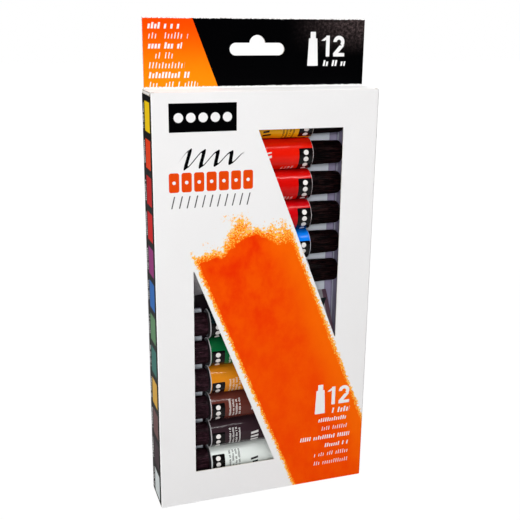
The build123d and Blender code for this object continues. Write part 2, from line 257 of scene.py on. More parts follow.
def makeMarksGroup():
    # a line of small slashes in short runs, as dense as small print but no letters
    given = {
        "Place": (0.0, 0.0, 0.0), "Start": (0.0, 0.0, 0.0), "Length": 10.0, "Height": 2.0,
        "Weight": 0.6, "Slant": 0.18, "Seed": 1.0,
    }
    tree, get, put = newGroup("Print marks", given, ["Mask"])
    x, y, _ = split(tree, vectorCalc(tree, "SUBTRACT", get["Place"], get["Start"]))
    x = calc(tree, "SUBTRACT", x, calc(tree, "MULTIPLY", y, get["Slant"]))
    rise = calc(tree, "DIVIDE", y, get["Height"])
    cell = calc(tree, "DIVIDE", calc(tree, "DIVIDE", x, get["Height"]), 0.5)
    number = join(tree, calc(tree, "FLOOR", cell), get["Seed"])
    dice = addNode(tree, "TexWhiteNoise", {"Vector": number}, noise_dimensions="2D").outputs["Color"]
    first, second, _ = split(tree, dice)
    aside = calc(tree, "ABSOLUTE", calc(tree, "SUBTRACT", calc(tree, "FRACT", cell), 0.5))
    half = calc(tree, "MULTIPLY", get["Weight"], 0.34)
    tick = ease(tree, calc(tree, "SUBTRACT", half, aside), -0.07, 0.07)
    lowered = calc(tree, "MULTIPLY", calc(tree, "GREATER_THAN", second, 0.55), 0.22)
    fromTop = calc(tree, "SUBTRACT", calc(tree, "SUBTRACT", 0.94, lowered), rise)
    tall = calc(tree, "MULTIPLY", ease(tree, rise, -0.02, 0.06), ease(tree, fromTop, -0.02, 0.06))
    begun = calc(tree, "GREATER_THAN", x, 0.0)
    line = calc(tree, "MULTIPLY", begun, calc(tree, "LESS_THAN", x, get["Length"]))
    shown = calc(tree, "MULTIPLY", calc(tree, "GREATER_THAN", first, 0.15), line)  # gaps between runs
    plug(tree, calc(tree, "MULTIPLY", calc(tree, "MULTIPLY", tick, tall), shown), put["Mask"])


def makeTwelveGroup():
    # the plain number 12, one unit tall
    tree, get, put = newGroup("Number twelve", {"Place": (0.0, 0.0, 0.0)}, ["Mask"])
    place = get["Place"]
    x, y, _ = split(tree, place)
    strokes = [
        {"Centre": (0.30, 0.5, 0.0), "Size": (0.19, 1.0, 0.0), "Corner": 0.03},
        {"Centre": (0.15, 0.84, 0.0), "Size": (0.19, 0.17, 0.0), "Slant": 1.3, "Corner": 0.02},
        {"Centre": (0.90, 0.085, 0.0), "Size": (0.60, 0.17, 0.0), "Corner": 0.03},
        {"Centre": (0.88, 0.33, 0.0), "Size": (0.26, 0.40, 0.0), "Slant": 0.88, "Corner": 0.02},
    ]
    shared = {"Place": place, "Soft": 0.01}
    masks = [useGroup(tree, "Print bar", {**shared, **stroke})["Mask"] for stroke in strokes]
    away = vectorCalc(tree, "LENGTH", vectorCalc(tree, "SUBTRACT", place, (0.89, 0.70, 0.0)))
    ring = calc(tree, "SUBTRACT", 0.092, calc(tree, "ABSOLUTE", calc(tree, "SUBTRACT", away, 0.205)))
    ring = ease(tree, ring, -0.01, 0.01)  # the bow of the 2, cut off below a slanting line
    fromCentre = calc(tree, "SUBTRACT", x, 0.89)
    cutLine = calc(tree, "SUBTRACT", 0.70, calc(tree, "MULTIPLY", fromCentre, 1.1))
    low = calc(tree, "MAXIMUM", cutLine, 0.0)
    upper = calc(tree, "GREATER_THAN", y, calc(tree, "MINIMUM", low, 0.70))
    masks.append(calc(tree, "MULTIPLY", ring, upper))
    total = masks[0]
    for mask in masks[1:]:
        total = calc(tree, "MAXIMUM", total, mask)
    plug(tree, total, put["Mask"])


def makeBoardGroup():
    # coated board: fine fibres, slow mottling and a few scuffs
    tree, get, put = newGroup("Board surface", {"Place": (0.0, 0.0, 0.0)}, ["Tint", "Scuff", "Height"])
    slow = noise(tree, get["Place"], 0.035, 3.0)
    fibre = noise(tree, get["Place"], 1.6, 4.0, 0.6, 0.6)
    fine = noise(tree, get["Place"], 7.0, 2.0)
    tint = calc(tree, "ADD", calc(tree, "MULTIPLY", slow, 0.05), calc(tree, "MULTIPLY", fibre, 0.03))
    plug(tree, calc(tree, "ADD", tint, 0.955), put["Tint"])
    patches = noise(tree, get["Place"], 0.09, 4.0, 0.65, 0.8)
    scratch = noise(tree, vectorCalc(tree, "MULTIPLY", get["Place"], (0.4, 2.2, 1.0)), 0.9, 3.0, 0.7)
    scuff = calc(tree, "MULTIPLY", ease(tree, patches, 0.55, 0.75), ease(tree, scratch, 0.5, 0.68))
    plug(tree, scuff, put["Scuff"])
    height = calc(tree, "ADD", calc(tree, "MULTIPLY", fibre, 0.6), calc(tree, "MULTIPLY", fine, 0.25))
    plug(tree, height, put["Height"])


makeBarGroup()
makeMarksGroup()
makeTwelveGroup()
makeBoardGroup()
print("print groups ready")

boardLook = {
    "white": ink(238, 237, 237), "raw": ink(214, 208, 198), "black": ink(2, 2, 3),
    "orange": ink(245, 72, 0), "amber": ink(255, 190, 74), "pan": ink(226, 70, 10),
    "headerTop": ink(250, 72, 0), "headerFoot": ink(252, 132, 8), "grey": ink(70, 68, 70),
    "rough": 0.42, "printSheen": -0.08, "scuffRough": 0.2,
}


def flatPlace(tree, across, sign=1):
    # the object's own place in mm, laid out flat: across a face, and up
    spot = addNode(tree, "TexCoord", {}).outputs["Object"]
    scaled = addNode(tree, "VectorMath", {0: spot, "Scale": 1000.0}, operation="SCALE").outputs[0]
    parts = split(tree, scaled)
    return scaled, join(tree, calc(tree, "MULTIPLY", parts[across], float(sign)), parts[2])


def bar(tree, place, centre, size, **more):
    labels = {label.capitalize(): value for label, value in more.items()}
    inputs = {"Place": place, "Centre": (*centre, 0.0), "Size": (*size, 0.0), **labels}
    return useGroup(tree, "Print bar", inputs)["Mask"]


def marks(tree, place, start, length, height, seed, weight=0.6, slant=0.18):
    inputs = {
        "Place": place, "Start": (*start, 0.0), "Length": length, "Height": height,
        "Weight": weight, "Slant": slant, "Seed": seed,
    }
    return useGroup(tree, "Print marks", inputs)["Mask"]


def repeat(tree, value, first, pitch, count):
    # the number of the copy that the value lies in, and the distance from that copy's middle
    share = calc(tree, "DIVIDE", calc(tree, "SUBTRACT", value, first - pitch / 2), pitch)
    index = calc(tree, "MINIMUM", calc(tree, "MAXIMUM", calc(tree, "FLOOR", share), 0.0), count - 1.0)
    middle = calc(tree, "ADD", calc(tree, "MULTIPLY", index, pitch), first)
    return index, calc(tree, "SUBTRACT", value, middle)


def stepColour(tree, index, colours):
    # one colour for each whole number
    ramp = tree.nodes.new("ShaderNodeValToRGB")
    ramp.color_ramp.interpolation = "CONSTANT"
    stops = ramp.color_ramp.elements
    for number, colour in enumerate(colours):
        stop = stops[number] if number < 2 else stops.new(number / len(colours))
        stop.position = number / len(colours)
        stop.color = colour
    plug(tree, calc(tree, "DIVIDE", calc(tree, "ADD", index, 0.5), float(len(colours))), ramp.inputs[0])
    return ramp.outputs[0]


def stepValue(tree, index, values):
    largest = max(values)
    shade = stepColour(tree, index, [(value / largest,) * 3 + (1.0,) for value in values])
    return calc(tree, "MULTIPLY", split(tree, shade)[0], largest)


def tubeSign(tree, place, left, foot, tall):
    # a small plain picture of a paint tube, wider towards its foot
    middle, corner = left + 0.19 * tall, 0.02 * tall
    bodySize, neckSize = (0.31 * tall, 0.81 * tall), (0.17 * tall, 0.22 * tall)
    body = bar(tree, place, (middle, foot + 0.405 * tall), bodySize, taper=0.045, corner=corner)
    neck = bar(tree, place, (middle, foot + 0.89 * tall), neckSize, corner=corner)
    return calc(tree, "MAXIMUM", body, neck)


def twelve(tree, place, left, foot, tall):
    near = vectorCalc(tree, "SUBTRACT", place, (left, foot, 0.0))
    near = vectorCalc(tree, "DIVIDE", near, (tall, tall, tall))
    return useGroup(tree, "Number twelve", {"Place": near})["Mask"]


def boardMaterial(name, outwards, across, sign, printing):
    # board printed on the side that faces outwards, bare inside and at its cut edges
    def look(tree):
        spot, place = flatPlace(tree, across, sign)
        surface = useGroup(tree, "Board surface", {"Place": spot})
        normal = addNode(tree, "NewGeometry", {}).outputs["True Normal"]
        facing = ease(tree, vectorCalc(tree, "DOT_PRODUCT", normal, outwards), 0.45, 0.6)
        printed, inked = printing(tree, place)
        shown = blendInk(tree, facing, boardLook["raw"], printed)  # unprinted board inside
        tinted = blendInk(tree, 1.0, shown, join(tree, *[surface["Tint"]] * 3), "MULTIPLY")
        sheen = calc(tree, "MULTIPLY", calc(tree, "MULTIPLY", facing, inked), boardLook["printSheen"])
        scuffed = calc(tree, "MULTIPLY", surface["Scuff"], boardLook["scuffRough"])
        rough = calc(tree, "ADD", calc(tree, "ADD", sheen, scuffed), boardLook["rough"])
        return {"colour": tinted, "rough": rough, "height": surface["Height"]}

    return finish(name, look, depth=0.02, Specular_IOR_Level=0.03)


frontPrint = {
    "blockCentre": (-32.8, 204.3), "blockSize": (32.8, 13.4),
    "dots": 5, "dotPitch": 5.9, "dotSize": 4.5,
    "pans": 7, "panFirst": -47.2, "panPitch": 6.1, "panSize": (5.0, 9.4), "panMiddle": 173.9,
    "panDot": 1.7, "slashes": 11, "slashFirst": -47.8, "slashPitch": 3.75, "slashSize": (0.6, 6.0),
    "slashMiddle": 164.4, "lineTop": 36.5, "linePitch": 5.26, "lineTall": 2.6, "lineEnd": 49.4,
    "lineLengths": (19.0, 17.0, 32.0, 16.0, 21.0, 21.0),
    "lineWeights": (0.8, 0.45, 0.8, 0.8, 0.45, 0.45),
    "sign": (28.2, 41.8, 17.2), "number": (36.0, 46.4, 10.6),  # left, foot and height of each
    "small": ((36.4, 41.2), 12.4, 3.4),  # start, length and height of a line of marks
    "rimLeft": 57.1, "rimFoot": 168.0,
}
swathLook = {
    "slope": 0.4067, "left": 18.4, "right": 70.2, "crest": 145.0, "hump": -5.0, "fall": 0.017,
    "halo": 4.0, "rightHalo": 4.8, "topHalo": 14.0, "raggedTop": 26.0, "wobble": 1.8,
    "dark": ink(238, 48, 0), "light": ink(246, 84, 0), "bright": ink(252, 108, 2),
}
penLook = {
    "left": -44.0, "middle": 184.8, "long": 30.0, "waves": 4.25, "tall": 4.0, "shrink": 1.8,
    "lean": 0.55, "thick": 0.62, "thin": 0.36,
}


def swath(tree, place):
    # one broad slanting brush stroke with dry edges and a speckled top end
    p = swathLook
    x, z, _ = split(tree, place)
    shrink = math.cos(math.atan(p["slope"]))
    lean = calc(tree, "ADD", x, calc(tree, "MULTIPLY", z, p["slope"]))
    wobble = calc(tree, "SUBTRACT", noise(tree, place, 0.22, 3.0, 0.6), 0.5)
    wobble = calc(tree, "MULTIPLY", wobble, p["wobble"])
    fromLeft = calc(tree, "MULTIPLY", calc(tree, "SUBTRACT", lean, p["left"]), shrink)
    fromRight = calc(tree, "MULTIPLY", calc(tree, "SUBTRACT", p["right"], lean), shrink)
    fromSides = calc(tree, "ADD", calc(tree, "MINIMUM", fromLeft, fromRight), wobble)
    bend = calc(tree, "POWER", calc(tree, "ABSOLUTE", calc(tree, "SUBTRACT", x, p["hump"])), 2.0)
    crest = calc(tree, "SUBTRACT", p["crest"], calc(tree, "MULTIPLY", bend, p["fall"]))
    shifted = vectorCalc(tree, "ADD", place, (18.0, 0.0, 0.0))
    ragged = noise(tree, vectorCalc(tree, "MULTIPLY", shifted, (1.0, 0.6, 1.0)), 0.07, 3.0, 0.5)
    ragged = calc(tree, "MULTIPLY", calc(tree, "SUBTRACT", ragged, 0.5), p["raggedTop"])
    crest = calc(tree, "ADD", crest, ragged)
    fromTop = calc(tree, "SUBTRACT", crest, z)
    inside = calc(tree, "MINIMUM", fromSides, fromTop)
    lobes = ease(tree, noise(tree, shifted, 0.06, 2.0), 0.4, 0.62)
    loose = calc(tree, "MULTIPLY", ease(tree, z, 108.0, 132.0), calc(tree, "ADD", 0.45, lobes))
    halo = calc(tree, "ADD", p["halo"], calc(tree, "MULTIPLY", loose, p["topHalo"]))
    rightShare = ease(tree, fromRight, 26.0, 20.0)
    sideHalo = addNode(tree, "Mix", {0: rightShare, 2: p["halo"], 3: p["rightHalo"]}).outputs[0]
    aside = calc(tree, "DIVIDE", fromSides, sideHalo)
    above = calc(tree, "DIVIDE", fromTop, halo)
    cover = ease(tree, calc(tree, "MINIMUM", aside, above), -1.0, 0.1)
    grain = calc(tree, "SUBTRACT", noise(tree, place, 1.1, 3.0, 0.75), 0.5)
    specks = ease(tree, calc(tree, "ADD", cover, calc(tree, "MULTIPLY", grain, 2.2)), 0.8, 0.88)
    solid = ease(tree, calc(tree, "ADD", inside, calc(tree, "MULTIPLY", grain, 1.5)), -0.1, 0.2)
    specks = calc(tree, "MAXIMUM", specks, solid)
    flecks = noise(tree, vectorCalc(tree, "ADD", place, (40.0, 0.0, 0.0)), 0.7, 3.0, 0.7)
    flecks = calc(tree, "MULTIPLY", calc(tree, "SUBTRACT", flecks, 0.5), 2.0)
    wash = ease(tree, calc(tree, "ADD", cover, flecks), 0.52, 0.66)
    mask = calc(tree, "MULTIPLY", calc(tree, "MAXIMUM", specks, wash), ease(tree, cover, 0.0, 0.06))
    slow = noise(tree, vectorCalc(tree, "MULTIPLY", place, (1.0, 0.7, 1.0)), 0.08, 5.0, 0.65)
    body = blendInk(tree, ease(tree, slow, 0.3, 0.7), p["dark"], p["light"])
    body = blendInk(tree, calc(tree, "MULTIPLY", ease(tree, z, 130.0, 60.0), 0.45), body, p["light"])
    right = calc(tree, "MULTIPLY", ease(tree, fromRight, 18.0, 1.0), 0.75)
    body = blendInk(tree, right, body, p["bright"])
    body = blendInk(tree, ease(tree, inside, 0.6, -0.4), body, p["bright"])
    return mask, blendInk(tree, specks, boardLook["amber"], body)


def flourish(tree, place):
    # a loose wavy pen stroke, thick going down and thin going up
    p = penLook
    x, z, _ = split(tree, place)
    leaning = calc(tree, "MULTIPLY", calc(tree, "SUBTRACT", z, p["middle"]), p["lean"])
    x = calc(tree, "SUBTRACT", x, leaning)
    along = calc(tree, "DIVIDE", calc(tree, "SUBTRACT", x, p["left"]), p["long"])
    waves = 2 * math.pi * p["waves"]
    turn = calc(tree, "MULTIPLY", along, waves)
    swell = calc(tree, "SUBTRACT", p["tall"], calc(tree, "MULTIPLY", along, p["shrink"]))
    line = calc(tree, "ADD", p["middle"], calc(tree, "MULTIPLY", calc(tree, "SINE", turn), swell))
    steep = calc(tree, "MULTIPLY", swell, waves / p["long"])
    steep = calc(tree, "MULTIPLY", calc(tree, "COSINE", turn), steep)
    stretch = calc(tree, "SQRT", calc(tree, "ADD", 1.0, calc(tree, "MULTIPLY", steep, steep)))
    distance = calc(tree, "DIVIDE", calc(tree, "ABSOLUTE", calc(tree, "SUBTRACT", z, line)), stretch)
    thinner = calc(tree, "MULTIPLY", calc(tree, "DIVIDE", steep, stretch), p["thin"])
    half = calc(tree, "SUBTRACT", p["thick"], thinner)
    ends = calc(tree, "MULTIPLY", ease(tree, along, -0.02, 0.08), ease(tree, along, 1.02, 0.94))
    return calc(tree, "MULTIPLY", ease(tree, calc(tree, "SUBTRACT", half, distance), -0.06, 0.06), ends)


def printFront(tree, place):
    p = frontPrint
    x, z, _ = split(tree, place)
    mask, body = swath(tree, place)
    shown = blendInk(tree, mask, boardLook["white"], body)
    block = bar(tree, place, p["blockCentre"], p["blockSize"], corner=0.2)
    shown = blendInk(tree, block, shown, boardLook["black"])
    middle, height = p["blockCentre"]
    _, near = repeat(tree, x, middle - p["dotPitch"] * (p["dots"] - 1) / 2, p["dotPitch"], p["dots"])
    size = p["dotSize"]
    white = bar(tree, join(tree, near, z), (0.0, height), (size, size), corner=size / 2)
    fall = calc(tree, "SUBTRACT", p["lineTop"], z)
    number, below = repeat(tree, fall, -p["lineTall"] / 2, p["linePitch"], len(p["lineLengths"]))
    length = stepValue(tree, number, p["lineLengths"])
    start = calc(tree, "SUBTRACT", p["lineEnd"], length)
    local = join(tree, calc(tree, "SUBTRACT", x, start), calc(tree, "MULTIPLY", below, -1.0))
    weight = stepValue(tree, number, p["lineWeights"])
    seed = calc(tree, "ADD", number, 3.0)
    line = marks(tree, local, (0.0, -p["lineTall"] / 2), length, p["lineTall"], seed, weight)
    white = calc(tree, "MAXIMUM", white, line)
    white = calc(tree, "MAXIMUM", white, tubeSign(tree, place, *p["sign"]))
    white = calc(tree, "MAXIMUM", white, twelve(tree, place, *p["number"]))
    small = marks(tree, place, *p["small"], 21.0, 0.8)
    white = calc(tree, "MAXIMUM", white, small)
    shown = blendInk(tree, white, shown, boardLook["white"])
    _, near = repeat(tree, x, p["panFirst"], p["panPitch"], p["pans"])
    beside = join(tree, near, z)
    pan = bar(tree, beside, (0.0, p["panMiddle"]), p["panSize"], corner=1.1)
    hole = bar(tree, beside, (0.0, p["panMiddle"]), (p["panDot"],) * 2, corner=p["panDot"] / 2)
    shown = blendInk(tree, calc(tree, "SUBTRACT", pan, hole), shown, boardLook["pan"])
    _, near = repeat(tree, x, p["slashFirst"], p["slashPitch"], p["slashes"])
    beside = join(tree, near, z)
    slash = bar(tree, beside, (0.0, p["slashMiddle"]), p["slashSize"], slant=0.25, corner=0.2)
    shown = blendInk(tree, slash, shown, boardLook["grey"])
    shown = blendInk(tree, flourish(tree, place), shown, boardLook["black"])
    # the black of the right side shows round the crease near the top
    outer = ease(tree, x, p["rimLeft"], p["rimLeft"] + 0.1)
    rim = calc(tree, "MULTIPLY", outer, ease(tree, z, p["rimFoot"], p["rimFoot"] + 8.0))
    shown = blendInk(tree, rim, shown, boardLook["black"])
    return shown, calc(tree, "MAXIMUM", mask, block)


sideInks = [
    ink(248, 206, 4), ink(232, 60, 4), ink(196, 6, 6), ink(208, 10, 12), ink(150, 44, 118),
    ink(40, 106, 184), ink(98, 143, 101), ink(58, 119, 110), ink(220, 170, 67), ink(112, 78, 77),
    ink(67, 50, 56), ink(214, 221, 221),
]
sidePrint = {
    "pitch": 17.67, "top": 211.3, "tall": 14.1, "middle": -2.0, "wide": 11.6, "crease": -10.3,
    "marksLine": 6.9, "small": ((-6.5, -0.6), 12.0, 1.9), "fine": ((-6.5, -2.4), 8.0, 1.1),
    "black": ink(2, 2, 3), "wearAndSheen": ink(26, 24, 23),
}


def printSide(tree, place):
    p = sidePrint
    x, z, _ = split(tree, place)
    # painted sheen: the black lightens towards the bottom
    shown = blendInk(tree, ease(tree, z, 216.0, 40.0), p["black"], p["wearAndSheen"])
    fall = calc(tree, "SUBTRACT", p["top"] - p["tall"] / 2, z)
    number, below = repeat(tree, fall, 0.0, p["pitch"], len(sideInks))
    up = calc(tree, "MULTIPLY", below, -1.0)
    local = join(tree, x, up)
    swatch = bar(tree, local, (p["middle"], 0.0), (p["wide"], p["tall"]), corner=0.3)
    shown = blendInk(tree, swatch, shown, stepColour(tree, number, sideInks))
    upright = join(tree, up, calc(tree, "SUBTRACT", p["marksLine"], x))
    small = marks(tree, upright, *p["small"], number, 0.9)
    fine = marks(tree, upright, *p["fine"], calc(tree, "ADD", number, 20.0), 0.6)
    shown = blendInk(tree, calc(tree, "MAXIMUM", small, fine), shown, boardLook["white"])
    torn = calc(tree, "SUBTRACT", noise(tree, place, 0.7, 3.0), 0.5)
    torn = calc(tree, "ADD", x, calc(tree, "MULTIPLY", torn, 0.5))
    crease = ease(tree, torn, p["crease"], p["crease"] + 0.2)
    return blendInk(tree, crease, boardLook["white"], shown), crease


headerPrint = {
    "lineTop": 246.8, "linePitch": 4.55, "lineTall": 3.1, "lineStart": -54.4,
    "lineLengths": (15.6, 19.4, 16.4, 12.0, 17.6, 20.4, 24.0),
    "lineWeights": (0.95, 0.4, 0.95, 0.4, 0.45, 0.8, 0.45),
    "sign": (26.2, 226.1, 16.5), "number": (34.3, 230.6, 10.2), "small": ((34.6, 225.9), 12.4, 3.2),
    # haze is the grey of a painted sheen on the black
    "boundary": -20.3, "slope": 0.39, "haze": ink(150, 128, 128),
}


def printHeader(tree, place):
    p = headerPrint
    x, z, _ = split(tree, place)
    warm = blendInk(tree, ease(tree, z, 249.0, 219.0), boardLook["headerTop"], boardLook["headerFoot"])
    leaning = calc(tree, "MULTIPLY", calc(tree, "SUBTRACT", z, 217.0), p["slope"])
    dark = ease(tree, calc(tree, "ADD", x, leaning), p["boundary"], p["boundary"] + 0.2)
    # painted sheen: a patchy grey over the black at the upper right stands in for gloss highlights
    rubAndSheen = calc(tree, "MULTIPLY", ease(tree, x, 14.0, 54.0), ease(tree, z, 230.0, 248.0))
    wearAndSheen = ease(tree, noise(tree, place, 0.7, 5.0, 0.75), 0.42, 0.72)
    haze = calc(tree, "MULTIPLY", calc(tree, "ADD", calc(tree, "MULTIPLY", wearAndSheen, 0.34), 0.05), rubAndSheen)
    black = blendInk(tree, haze, boardLook["black"], p["haze"])
    shown = blendInk(tree, dark, warm, black)
    fall = calc(tree, "SUBTRACT", p["lineTop"] - p["lineTall"] / 2, z)
    number, below = repeat(tree, fall, 0.0, p["linePitch"], len(p["lineLengths"]))
    local = join(tree, calc(tree, "SUBTRACT", x, p["lineStart"]), calc(tree, "MULTIPLY", below, -1.0))
    length, weight = (stepValue(tree, number, p[part]) for part in ("lineLengths", "lineWeights"))
    seed = calc(tree, "ADD", number, 71.0)
    white = marks(tree, local, (0.0, -p["lineTall"] / 2), length, p["lineTall"], seed, weight)
    white = calc(tree, "MAXIMUM", white, tubeSign(tree, place, *p["sign"]))
    white = calc(tree, "MAXIMUM", white, twelve(tree, place, *p["number"]))
    small = marks(tree, place, *p["small"], 81.0, 0.9)
    white = calc(tree, "MAXIMUM", white, small)
    shown = blendInk(tree, white, shown, boardLook["white"])
    torn = calc(tree, "SUBTRACT", noise(tree, place, 0.9, 4.0, 0.7), 0.5)
    height = calc(tree, "ADD", z, calc(tree, "MULTIPLY", torn, 1.6))
    # the print stops in a torn white line at the header's foot and top
    sound = calc(tree, "MULTIPLY", ease(tree, height, 216.6, 216.9), ease(tree, height, 248.8, 248.4))
    return blendInk(tree, sound, boardLook["white"], shown), sound


backPrint = {
    "lineTop": 186.0, "linePitch": 5.2, "lines": 14, "lineTall": 2.2,
    "lineStart": -22.0, "lineLeast": 30.0, "lineMore": 14.0,
    "columnFirst": -26.0, "columnPitch": 52.0, "columns": 2,
    "panFirst": -44.0, "panPitch": 8.0, "panMiddle": 96.0, "panSize": (6.6, 10.0),
    "bandMiddle": 206.0, "bandSize": (98.0, 6.0), "footMiddle": 16.0, "footSize": (98.0, 14.0),
}


def printBack(tree, place):
    p = backPrint
    x, z, _ = split(tree, place)
    fall = calc(tree, "SUBTRACT", p["lineTop"], z)
    number, below = repeat(tree, fall, 0.0, p["linePitch"], p["lines"])
    column, beside = repeat(tree, x, p["columnFirst"], p["columnPitch"], p["columns"])
    local = join(tree, beside, calc(tree, "MULTIPLY", below, -1.0))
    seed = calc(tree, "ADD", number, calc(tree, "MULTIPLY", column, 30.0))
    dice = addNode(tree, "TexWhiteNoise", {"W": seed}, noise_dimensions="1D").outputs["Value"]
    length = calc(tree, "ADD", p["lineLeast"], calc(tree, "MULTIPLY", dice, p["lineMore"]))
    dark = marks(tree, local, (p["lineStart"], -p["lineTall"] / 2), length, p["lineTall"], seed, 0.6)
    shown = blendInk(tree, dark, boardLook["white"], boardLook["grey"])
    number, near = repeat(tree, x, p["panFirst"], p["panPitch"], len(sideInks))
    pans = bar(tree, join(tree, near, z), (0.0, p["panMiddle"]), p["panSize"], corner=0.5)
    shown = blendInk(tree, pans, shown, stepColour(tree, number, sideInks))
    band = bar(tree, place, (0.0, p["bandMiddle"]), p["bandSize"], corner=0.2)
    foot = bar(tree, place, (0.0, p["footMiddle"]), p["footSize"], corner=0.2)
    inked = calc(tree, "MAXIMUM", band, foot)
    return blendInk(tree, inked, shown, boardLook["orange"]), inked


def printNothing(tree, place):
    return boardLook["white"], 0.0


# each board's outward side, the axis that runs across its print, its direction, and its print
boards = {
    "front_panel": ((0.0, -1.0, 0.0), 0, 1, printFront),
    "left_side_panel": ((-1.0, 0.0, 0.0), 1, 1, printSide),
    "right_side_panel": ((1.0, 0.0, 0.0), 1, 1, printSide),
    "back_panel": ((0.0, 1.0, 0.0), 0, -1, printBack),
    "header_front_layer": ((0.0, -1.0, 0.0), 0, 1, printHeader),
    "header_rear_layer": ((0.0, 1.0, 0.0), 0, -1, printHeader),
    "top_lid": ((0.0, 0.0, 1.0), 0, 1, printNothing),
    "bottom_lid": ((0.0, 0.0, -1.0), 0, 1, printNothing),
    "top_tuck_flap": ((0.0, -1.0, 0.0), 0, 1, printNothing),
    "bottom_tuck_flap": ((0.0, -1.0, 0.0), 0, 1, printNothing),
    "top_dust_flap_left": ((0.0, 0.0, 1.0), 0, 1, printNothing),
    "top_dust_flap_right": ((0.0, 0.0, 1.0), 0, 1, printNothing),
    "bottom_dust_flap_left": ((0.0, 0.0, -1.0), 0, 1, printNothing),
    "bottom_dust_flap_right": ((0.0, 0.0, -1.0), 0, 1, printNothing),
    "glue_flap": ((0.0, 1.0, 0.0), 0, 1, printNothing),
}


def dress(node, material):
    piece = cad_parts[node]
    piece.data.materials.clear()
    piece.data.materials.append(material)


for node, (outwards, across, sign, printing) in boards.items():
    dress(node, boardMaterial(node + "_print", outwards, across, sign, printing))
print("carton printed")

# tubes: the folded end at x = 0 and the cap towards +x, as modelled once
tube = {
    "radius": 7.75, "body": 68.7, "round": 28.0, "taper": 35.5, "flatHalf": 0.36, "tilt": 32.0,
    "bead": 0.15, "beadShare": 0.985, "shoulder": 0.9, "shoulderRadius": 6.3,
    "neckRadius": 3.6, "neckLength": 7.5, "mouthShare": 0.45,
    "dent": 0.34, "dentSize": 4.6, "roundSteps": 10, "taperSteps": 14,
}
# how far each ring of the folded end lies from the last one, and half its thickness
foldRings = [
    (0.02, 0.5042), (0.3, 0.55), (1.1, 0.55), (0.3, 0.44), (0.3, 0.55), (1.0, 0.55), (0.3, 0.44),
    (0.3, 0.55), (1.2, 0.55), (0.38, 0.385),
]
labelLook = {
    "tall": 18.0, "long": 7.3, "dots": 5, "dotPitch": 3.4, "dotSize": 2.6, "dotMiddle": 3.6,
    "columns": 4, "columnPitch": 1.75, "columnTall": 1.15, "firstColumn": 15.3,
    "columnStart": -1.8, "columnLong": 10.0, "signFoot": 26.0, "signLong": 15.0, "signTall": 4.6,
    "black": ink(12, 9, 10), "white": ink(236, 232, 228),
    # the label's upper edge on each tube, measured round it
    "turns": (9.5, 3.7, 4.2, 4.7, 3.1, 3.4, 2.5, 2.8, 0.9, 4.3, 3.1, 5.5),
}
# the fold colour is painted shade on the folded end, and underCapShade is painted shade on the neck
# under the cap
metalLook = {
    "dull": ink(186, 180, 186), "bright": ink(232, 230, 232), "fold": ink(122, 92, 108),
    "shoulder": ink(222, 220, 222), "underCapShade": ink(52, 48, 52), "bareEnd": 23.0, "folded": 2.6,
}
# each tube's name, its paint's colour and its small marks' colour
rows = [
    ("01_yellow", ink(240, 172, 8), ink(40, 26, 10)),
    ("02_orange_red", ink(236, 24, 4), ink(236, 232, 228)),
    ("03_red", ink(212, 8, 4), ink(236, 232, 228)),
    ("04_carmine", ink(206, 4, 14), ink(236, 232, 228)),
    ("05_blue", ink(0, 124, 242), ink(236, 232, 228)),
    ("06_violet", ink(64, 34, 100), ink(226, 222, 228)),
    ("07_teal", ink(10, 30, 34), ink(226, 222, 228)),
    ("08_green", ink(8, 96, 50), ink(226, 226, 220)),
    ("09_ochre", ink(216, 132, 24), ink(226, 214, 190)),
    ("10_brown", ink(96, 46, 38), ink(226, 218, 214)),
    ("11_black", ink(50, 34, 40), ink(220, 218, 216)),
    ("12_white", ink(228, 234, 230), ink(40, 38, 42)),
]
rowsPerGroup = 6  # the upper six caps point right, the lower six left


def deselect():
    if bpy.context.object and bpy.context.object.mode == "EDIT":
        bpy.ops.object.mode_set(mode="OBJECT")
    bpy.ops.object.select_all(action="DESELECT")


def grow(along, widen=1.0, thicken=1.0):
    bpy.ops.mesh.extrude_region_move(TRANSFORM_OT_translate={"value": (along * mm, 0, 0)})
    bpy.ops.transform.resize(value=(1, thicken, widen), center_override=(0, 0, 0))


def pick(test):
    # in edit mode, selects the points that the test accepts by their place in mm
    bpy.ops.mesh.select_mode(type="VERT")
    bpy.ops.mesh.select_all(action="DESELECT")
    bpy.ops.object.mode_set(mode="OBJECT")
    for point in bpy.context.object.data.vertices:
        point.select = test(point.co / mm)
    bpy.ops.object.mode_set(mode="EDIT")


def addRing(name, count, radius, x):
    deselect()
    bpy.ops.mesh.primitive_circle_add(
        vertices=count, radius=radius * mm, location=(x * mm, 0, 0), rotation=(0, math.pi / 2, 0)
    )
    piece = bpy.context.object
    piece.name = name
    bpy.ops.object.transform_apply(location=True, rotation=True, scale=True)
    bpy.ops.object.mode_set(mode="EDIT")
    bpy.ops.mesh.select_all(action="SELECT")
    return piece


def closeShell():
    bpy.ops.mesh.select_all(action="SELECT")
    bpy.ops.mesh.remove_doubles(threshold=0.00001)
    bpy.ops.mesh.normals_make_consistent(inside=False)
    bpy.ops.object.mode_set(mode="OBJECT")


